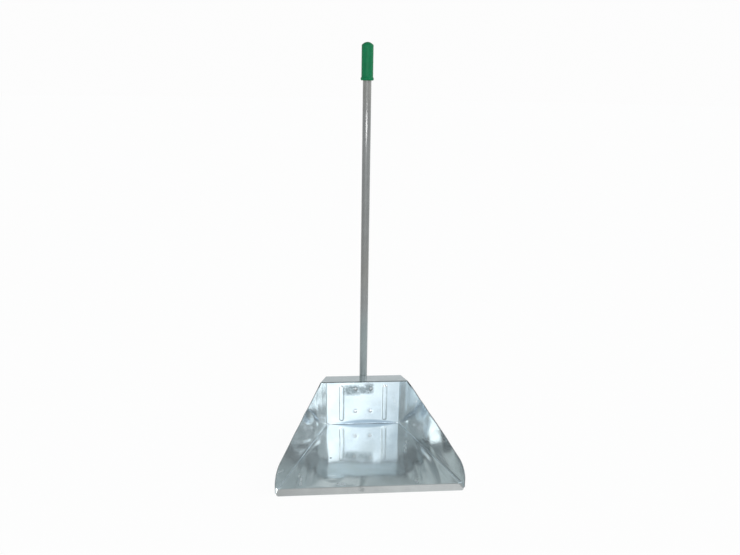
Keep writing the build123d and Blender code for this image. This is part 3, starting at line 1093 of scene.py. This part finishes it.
    def plate_surface(self) -> np.ndarray:
        """Middle surface: the rear flange, then the plate, raised from the bottom edge to the top edge.

        Returns:
            Grid of points, along the wall by up it.
        """
        inset = 1.5 * self.plan.sheet
        centre, _ = self.crown
        radius = self.crown_radius - inset
        crease, beside = self.crease_place, self.crease_margin
        runs = (self.plate_start, crease - beside, crease + beside, centre + radius * sin(self.edge_slope))
        turn = np.linspace(pi / 2.0 - self.edge_slope, 0.0, 22)
        along = np.concatenate([graded(runs, (14, 17, 100)), centre + radius * np.cos(turn)])
        level = np.linspace(0.0, 1.0, 72)
        low, high = self.bottom_edge(along), self.top_edge(along, inset)
        height = low[:, None] + (high - low)[:, None] * level
        out = self.plan.sheet / 2.0 + self.waves(along[:, None], height, level)
        plate = self.plan.on_wall(self.side, along[:, None], out, height)
        return np.concatenate([self.rear_flange(along[0], level), plate])

    def rear_flange(self, start: float, level: np.ndarray) -> np.ndarray:
        """Middle surface behind the back wall: a plan path to the back corner and round it, raised upright.

        Args:
            start: Distance along the wall where the plate starts.
            level: Shares of the height.

        Returns:
            Grid of points, along the path by up the wall.
        """
        plan = self.plan
        half = plan.sheet / 2.0
        rear = plan.back_rear + half
        corner = ((plan.back_front - rear) + half * sin(plan.flare)) / cos(plan.flare)
        knee, first = plan.on_wall(Side.RIGHT, np.array([corner, start]), half, 0.0)
        path = rounded_path([(knee[0] - self.rear_width, rear), (knee[0], rear), (first[0], first[1])],
                            [self.rear_bend], [4, 2], 7)[:-1]
        x, y = path[:, :1], path[:, 1:]
        behind = y > plan.back_rear - self.rear_lap
        foot = np.where(behind, plan.floor_top + plan.fold_radius + plan.sheet, plan.floor_top)
        crest = np.where(behind, plan.hood_under - plan.sheet, plan.hood_under)
        return np.stack(np.broadcast_arrays(self.side.value * x, y, foot + (crest - foot) * level), axis=-1)

    def hem_surface(self) -> np.ndarray:
        """Middle surface of the hem: a narrow U, folded outward and closed, carried along the free edge.

        Returns:
            Grid of points, along the edge by round the U.
        """
        plan = self.plan
        half = plan.sheet / 2.0
        centre, middle = self.crown
        slope = self.edge_slope
        turn = np.linspace(pi / 2.0 - slope, 0.0, 26)
        run = graded((self.free_start + self.hem_start, centre + self.crown_radius * sin(slope)), (60,))
        post = np.linspace(middle, self.bottom_edge(np.array([self.length]))[0], 10)[1:]
        along = np.concatenate([run, centre + self.crown_radius * np.cos(turn),
                                np.full_like(post, self.length)])
        height = np.concatenate([self.top_edge(run, 0.0), middle + self.crown_radius * np.sin(turn), post])
        inward = np.concatenate([np.full_like(run, pi / 2.0 - slope), turn, np.zeros_like(post)])
        ring = 1.5 * half
        deep = half + ring
        bend = np.linspace(pi, 0.0, 11)
        leg = np.linspace(deep, plan.hem_width, 6)[1:]
        out = np.concatenate([[half], deep + ring * np.cos(bend), np.full_like(leg, half + 2.0 * ring)])
        depth = np.concatenate([[1.5 * plan.sheet], deep - ring * np.sin(bend), leg])
        place = along[:, None] - np.cos(inward)[:, None] * depth
        rise = height[:, None] - np.sin(inward)[:, None] * depth
        return plan.on_wall(self.side, place, out + self.bowing(place, rise), rise)

    def wear(self, vertices: np.ndarray) -> dict[Mark, np.ndarray]:
        """Painted shade at the start of the free edge, where it leaves the hood: 1 there, fading forward and
        down.

        Args:
            vertices: The vertices of the sheet or of its hem.

        Returns:
            How much painted shade each vertex has, from 0 to 1.
        """
        along = self.plan.along(vertices[:, 1])
        below = self.top_edge(along, 0.0) - vertices[:, 2]
        dark = (ease((self.free_start + self.dark_reach - along) / self.dark_fade)
                * ease((self.dark_depth - below) / self.dark_edge))
        return {Mark.DIRT_AND_SHADE: np.where(along > self.free_start, dark, 0.0)}

    def flange(self, out: np.ndarray, height: np.ndarray, stop: float, stations: int) -> MeshData:
        """Bar of a flange: one loop, carried along the wall from the fold at the back corner.

        Args:
            out: The loop's distances out from the wall.
            height: The loop's heights.
            stop: How far forward of the back wall the flange ends.
            stations: Number of loops.

        Returns:
            Vertices and quads.
        """
        plan = self.plan
        ends = plan.fold_radius + plan.gap, stop - self.seam_width * sin(plan.flare)
        along = np.linspace(ends[0] / cos(plan.flare), ends[1] / cos(plan.flare), stations)
        return swept_bar(plan.on_wall(self.side, along[:, None], out, height))

    def floor_flange(self) -> MeshData:
        """Flange on the floor: a flat strip with a hollow round where it meets the wall.

        Returns:
            Vertices and quads.
        """
        plan = self.plan
        sheet, radius, width, eased = plan.sheet, self.fold_radius, self.seam_width, self.seam_ease
        swing = np.linspace(-pi / 2.0, 0.0, 9)
        out = np.concatenate([[-width, -width, -width + eased], -radius + radius * np.cos(swing),
                              [self.overlap, self.overlap]])
        rise = np.concatenate([[self.seat, sheet - eased, sheet], sheet + radius + radius * np.sin(swing),
                               [sheet + radius, self.seat]])
        crease = plan.lip_tip + plan.lip_reach - sheet * tan(plan.lip_angle / 2.0)
        return self.flange(out, plan.floor_top + rise, plan.back_front - crease, 40)

    def hood_flange(self) -> MeshData:
        """Flange under the hood: a flat strip along the wall's top.

        Returns:
            Vertices and quads.
        """
        plan = self.plan
        out = np.array([-self.seam_width, self.overlap, self.overlap, -self.seam_width])
        rise = np.array([-plan.sheet, -plan.sheet, -self.seat, -self.seat])
        stop = plan.hood_depth - plan.sheet - plan.hem_width - plan.gap
        return self.flange(out, plan.hood_under + rise, stop, 4)

    def build(self, material: Material, shaded_hem_material: Material) -> list[Object]:
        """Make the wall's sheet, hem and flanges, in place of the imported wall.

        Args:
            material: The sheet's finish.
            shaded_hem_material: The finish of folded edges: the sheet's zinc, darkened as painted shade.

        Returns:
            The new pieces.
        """
        name = f"{self.side.name.lower()}_wall"
        sheet = self.plan.sheet
        body, hem = shell(self.plate_surface(), sheet), shell(self.hem_surface(), sheet)
        plate = make_piece(f"{name}_sheet", body, material, marks=self.wear(body[0]))
        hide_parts(name)
        seam = self.floor_flange()
        # the hollow round is what stands above the flat strip
        fold = np.where(seam[0][:, 2] > self.plan.floor_top + 1.1 * sheet, 1.0, 0.0)
        # the hollow round is rougher, and darkened as painted shade in the crease
        seam_marks = {Mark.SCRATCH: self.seam_scratch * fold, Mark.PAINTED_SHADE: self.seam_painted_shade * fold}
        return [plate,
                make_piece(f"{name}_hem", hem, shaded_hem_material, SHARP_ROUND, self.wear(hem[0])),
                make_piece(f"{name}_floor_seam", seam, material, marks=seam_marks),
                make_piece(f"{name}_hood_flange", self.hood_flange(), material)]


WALL_DENTS: dict[Side, Blobs] = {
    Side.LEFT: ((96.9, 75.5, 40.4, 16.0, 40.0, 1.35), (137.9, 41.7, 30.8, 60.1, 139.0, 1.45),
                (59.6, 52.5, 60.4, 55.1, -86.0, -1.01), (61.0, 80.4, 41.6, 16.0, 60.0, -0.59)),
    Side.RIGHT: ((49.2, 101.8, 58.1, 31.6, 29.0, 1.09), (91.7, 85.0, 23.7, 39.1, -30.0, 1.16),
                 (154.3, 60.2, 71.1, 53.9, -55.0, 1.87), (116.4, 27.0, 82.0, 40.1, 46.0, -2.40))}


# Handle and grip


@dataclass
class Handle:
    """Handle tube and the saddles and rivets that hold it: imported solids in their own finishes."""

    tube: str = "handle_tube"
    saddles: tuple[str, ...] = ("upper_saddle", "lower_saddle")
    rivets: tuple[str, ...] = ("lower_saddle_rivets", "tube_lock_rivet")
    # the upper rivets are darkened as painted shade, under the hood
    shaded_rivets: str = "upper_saddle_rivets"

    def dress(self) -> list[Object]:
        """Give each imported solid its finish.

        Returns:
            The dressed nodes.
        """
        finishes = {HANDLE_STEEL: (self.tube,), SHADED_RIVET_STEEL: (self.shaded_rivets,),
                    STRAP_STEEL: self.saddles, RIVET_STEEL: self.rivets}
        dressed = []
        for finish, names in finishes.items():
            material = finish.material()
            for node in (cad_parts[name] for name in names):
                for slot in node.material_slots:
                    slot.material = material
                dressed.append(node)
        return dressed


@dataclass
class HandGrip:
    """Push-on grip: a turned plastic sleeve with a domed crown, a ring round its mouth and a blind bore."""

    node: str = "hand_grip"
    radius: float = 10.7 * MM
    ring_height: float = 5.8 * MM
    crown: float = 5.2 * MM
    crown_power: float = 2.1
    crown_drop: float = 0.8 * MM
    bore_radius: float = 7.85 * MM
    end: float = 14.0 * MM
    pole: float = 0.2 * MM
    around: int = 96

    def profile(self, foot: float, top: float, ring_radius: float) -> tuple[np.ndarray, np.ndarray]:
        """Outline to turn: the bore from its end down, the mouth, the ring's arc, the sleeve and the crown.

        The crown lies below the top by its height times (r / radius) to the crown's power.

        Args:
            foot: Height of the grip's mouth.
            top: Height of its top.
            ring_radius: Largest radius of the ring.

        Returns:
            Radii and heights, in order.
        """
        rise = ring_radius - self.radius
        bend = (self.ring_height**2 / 4.0 + rise**2) / (2.0 * rise)
        swing = asin(self.ring_height / 2.0 / bend) * np.linspace(-1.0, 1.0, 15)
        bore = np.linspace(top - self.end, foot, 8)
        sleeve = np.linspace(foot + self.ring_height, top - self.crown, 24)[1:-1]
        crown = self.radius * np.cos(np.linspace(0.0, 0.5 * pi - self.pole / self.radius, 24))
        radii = [[self.pole], np.full_like(bore, self.bore_radius), ring_radius - bend + bend * np.cos(swing),
                 np.full_like(sleeve, self.radius), crown]
        heights = [bore[:1], bore, foot + self.ring_height / 2.0 + bend * np.sin(swing), sleeve,
                   top - self.crown * (crown / self.radius) ** self.crown_power]
        return np.concatenate(radii), np.concatenate(heights)

    def build(self) -> list[Object]:
        """Turn the outline about the tube's axis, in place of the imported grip.

        Returns:
            The new piece.
        """
        low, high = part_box(self.node)
        radii, heights = self.profile(low.z, high.z - self.crown_drop, (high.x - low.x) / 2.0)
        angle, radii = full_turn(self.around), radii[:, None]
        x = (low.x + high.x) / 2.0 + radii * np.cos(angle)
        y = (low.y + high.y) / 2.0 + radii * np.sin(angle)
        loops = np.stack(np.broadcast_arrays(x, y, heights[:, None]), axis=-1)
        piece = make_piece("hand_grip_sleeve", swept_bar(loops), GripPlastic().material(),
                           SHARP_ROUND)
        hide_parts(self.node)
        return [piece]


# Studio


@dataclass(frozen=True)
class SoftBox:
    """Lit or shaded patch of the room, seen from the pan, with angles in degrees.

    The bearing goes clockwise from straight behind the pan. The patch is full out to the inner angle from
    its middle and fades to nothing at the outer one.
    """

    bearing: float
    height: float
    inner: float
    outer: float
    colour: Triple
    blend: Blend = Blend.LIGHT

    def direction(self) -> Triple:
        """Unit vector towards the patch's middle."""
        turn, rise = radians(self.bearing), radians(self.height)
        return sin(turn) * cos(rise), cos(turn) * cos(rise), sin(rise)


@dataclass(frozen=True)
class Lamp:
    """Area lamp: its place, the point it faces, its sides and its brightness, where 1 is white."""

    name: str
    place: Triple
    aim: Triple
    sides: tuple[float, float]
    brightness: float

    def build(self) -> Object:
        """Hang the lamp; its power is pi times its area times its brightness.

        Returns:
            The lamp.
        """
        light = bpy.data.lights.new(self.name, "AREA")
        light.shape = "ELLIPSE"
        light.size, light.size_y = self.sides
        light.energy = pi * self.brightness * pi / 4.0 * self.sides[0] * self.sides[1]
        lamp = bpy.data.objects.new(self.name, light)
        lamp.location = self.place
        lamp.rotation_euler = (Vector(self.aim) - Vector(self.place)).to_track_quat("-Z", "Y").to_euler()
        lamp.visible_camera = False
        bpy.context.scene.collection.objects.link(lamp)
        return lamp


@dataclass
class Studio:
    """Pale floor, a room that is white low down and grey above, lit and shaded patches, and a soft lamp."""

    paper: FloorPaper = FloorPaper()
    floor_rings: tuple[float, ...] = (0.02, 0.5, 2.0, 8.0, 30.0)
    floor_spokes: int = 64
    floor_height: float = -0.1 * MM
    room: Stops = (
        (0.0, (0.98, 0.98, 0.98)), (0.19, (0.98, 0.98, 0.98)), (0.31, (0.64, 0.66, 0.67)),
        (0.44, (0.55, 0.58, 0.59)), (0.50, (0.38, 0.42, 0.43)), (0.57, (0.34, 0.40, 0.41)),
        (0.75, (0.34, 0.38, 0.39)), (0.93, (0.37, 0.37, 0.36)), (1.0, (0.365, 0.36, 0.35)))
    boxes: tuple[SoftBox, ...] = (
        SoftBox(178.0, 9.5, 22.5, 26.0, (0.36, 0.43, 0.51)),
        SoftBox(192.0, 28.0, 6.0, 20.0, (1.2, 1.2, 1.18)),
        SoftBox(100.0, 42.0, 14.0, 26.0, (2.0, 2.0, 1.97)),
        SoftBox(135.5, 21.5, 5.4, 7.4, (2.05, 2.1, 2.15)),
        SoftBox(116.0, 74.0, 3.0, 21.0, (0.22, 0.22, 0.22)),
        SoftBox(304.0, 33.0, 4.0, 9.0, (0.17, 0.165, 0.15)),
        SoftBox(92.0, 8.0, 14.0, 34.0, (0.5, 0.5, 0.49)),
        SoftBox(1.5, 36.5, 0.8, 3.0, (0.26, 0.26, 0.26)),
        SoftBox(9.0, 34.0, 1.0, 3.0, (0.72, 0.72, 0.72), Blend.SHADE),
        SoftBox(47.0, 30.2, 2.6, 4.8, (0.56, 0.58, 0.58), Blend.SHADE),
        SoftBox(130.5, 33.0, 3.5, 6.0, (0.42, 0.43, 0.44), Blend.SHADE),
        SoftBox(137.5, 32.8, 0.8, 2.3, (0.6, 0.6, 0.6)),
        SoftBox(172.5, 21.8, 1.0, 2.8, (0.45, 0.45, 0.45)),
        SoftBox(177.0, 36.5, 1.0, 3.0, (0.3, 0.3, 0.3)),
        SoftBox(172.0, 31.3, 1.5, 2.8, (0.85, 0.885, 0.92), Blend.SHADE),
        SoftBox(177.0, 31.5, 1.5, 2.8, (0.86, 0.895, 0.93), Blend.SHADE),
        SoftBox(233.0, 29.2, 1.5, 3.6, (0.72, 0.73, 0.73), Blend.SHADE),
        SoftBox(295.5, 30.0, 4.5, 7.5, (0.37, 0.39, 0.40), Blend.SHADE))
    lamp: Lamp = Lamp("front_strip", place=(-0.213, -2.88, 0.424), aim=(0.0, 0.1, 0.6), sides=(2.6, 0.16),
                      brightness=18.0)

    def lay_floor(self) -> Object:
        """Make the floor: rings of quads about the origin, white to the eye where nothing shades it.

        Returns:
            The floor.
        """
        angle, rings = full_turn(self.floor_spokes), np.array(self.floor_rings)[:, None]
        points = np.stack(np.broadcast_arrays(rings * np.cos(angle), rings * np.sin(angle),
                                              self.floor_height), axis=-1)
        quads = np.concatenate([hoop_quads(len(rings), len(angle)), ladder(len(angle))])
        mesh = bpy.data.meshes.new("floor")
        mesh.from_pydata(points.reshape(-1, 3).tolist(), [], quads.tolist())
        mesh.materials.append(self.paper.material())
        floor = bpy.data.objects.new("floor", mesh)
        bpy.context.scene.collection.objects.link(floor)
        return floor

    def light_room(self) -> None:
        """Light from the room itself: a colour for each height, changed inside the soft boxes' edges."""
        world = bpy.data.worlds.new("studio_room")
        world.use_nodes = True
        bpy.context.scene.world = world
        bench = NodeBench(world.node_tree)
        direction = bench.take("Generated", "TexCoord")
        height = bench.take("Z", "SeparateXYZ", {"Vector": direction})
        colour = bench.ramp(height, self.room, smooth=True)
        for box in self.boxes:
            near = bench.take("Value", "VectorMath", {0: direction, 1: box.direction()},
                              operation="DOT_PRODUCT")
            inside = bench.take("Result", "MapRange", {"Value": near, "From Min": cos(radians(box.outer)),
                                                       "From Max": cos(radians(box.inner))},
                                interpolation_type="SMOOTHSTEP")
            colour = bench.mix(inside, colour, (*box.colour, 1.0), box.blend)
        light = bench.take("Background", "Background", {"Color": colour, "Strength": 1.0})
        bench.add("OutputWorld", {"Surface": light})

    def build(self) -> None:
        """Set the floor, the room and the lamp, and plain view settings."""
        bpy.context.scene.view_settings.view_transform = "Standard"
        self.lay_floor()
        self.light_room()
        self.lamp.build()


@dataclass(frozen=True)
class PhotoCamera:
    """Camera at the photograph's viewing angle: a turn to the left, a tilt down and a roll, in radians.

    The focal length is in pixels of the photograph, which is photo_width of them wide.
    """

    place: Triple = (-0.08466, -1.07979, 0.69816)
    focal_pixels: float = 629.29
    photo_width: int = 740
    sensor_width: float = 36.0
    turn: float = -0.07996
    tilt: float = 0.29886
    roll: float = 0.0162
    clip: tuple[float, float] = (0.01, 100.0)

    def build(self) -> Object:
        """Place the camera and make it the scene's.

        Returns:
            The camera.
        """
        data = bpy.data.cameras.new("photo_camera")
        data.sensor_fit = "HORIZONTAL"
        data.sensor_width = self.sensor_width
        data.lens = self.focal_pixels * self.sensor_width / self.photo_width
        data.clip_start, data.clip_end = self.clip
        camera = bpy.data.objects.new("photo_camera", data)
        aim = (Matrix.Rotation(self.turn, 4, "Z") @ Matrix.Rotation(pi / 2.0 - self.tilt, 4, "X")
               @ Matrix.Rotation(self.roll, 4, "Z"))
        camera.matrix_world = Matrix.Translation(self.place) @ aim
        bpy.context.scene.collection.objects.link(camera)
        bpy.context.scene.camera = camera
        return camera


def main() -> None:
    """Build the camera, the studio and the dustpan, and report each piece's faces."""
    logging.basicConfig(level=logging.INFO, format="%(message)s")
    PhotoCamera().build()
    Studio().build()
    plan = PanPlan()
    # the folded edges' finish is the zinc, darkened as painted shade
    zinc, hem = ZINC_SHEET.material(), SHADED_ZINC_HEM.material()
    pieces = PanTray(plan).build(zinc, hem)
    for side in Side:
        pieces += SideWall(plan, side, WALL_DENTS[side]).build(zinc, hem)
    pieces += Handle().dress()
    pieces += HandGrip().build()
    for piece in pieces:
        log.info("%s: %d faces", piece.name, len(piece.data.polygons))


if __name__ == "__main__":
    main()
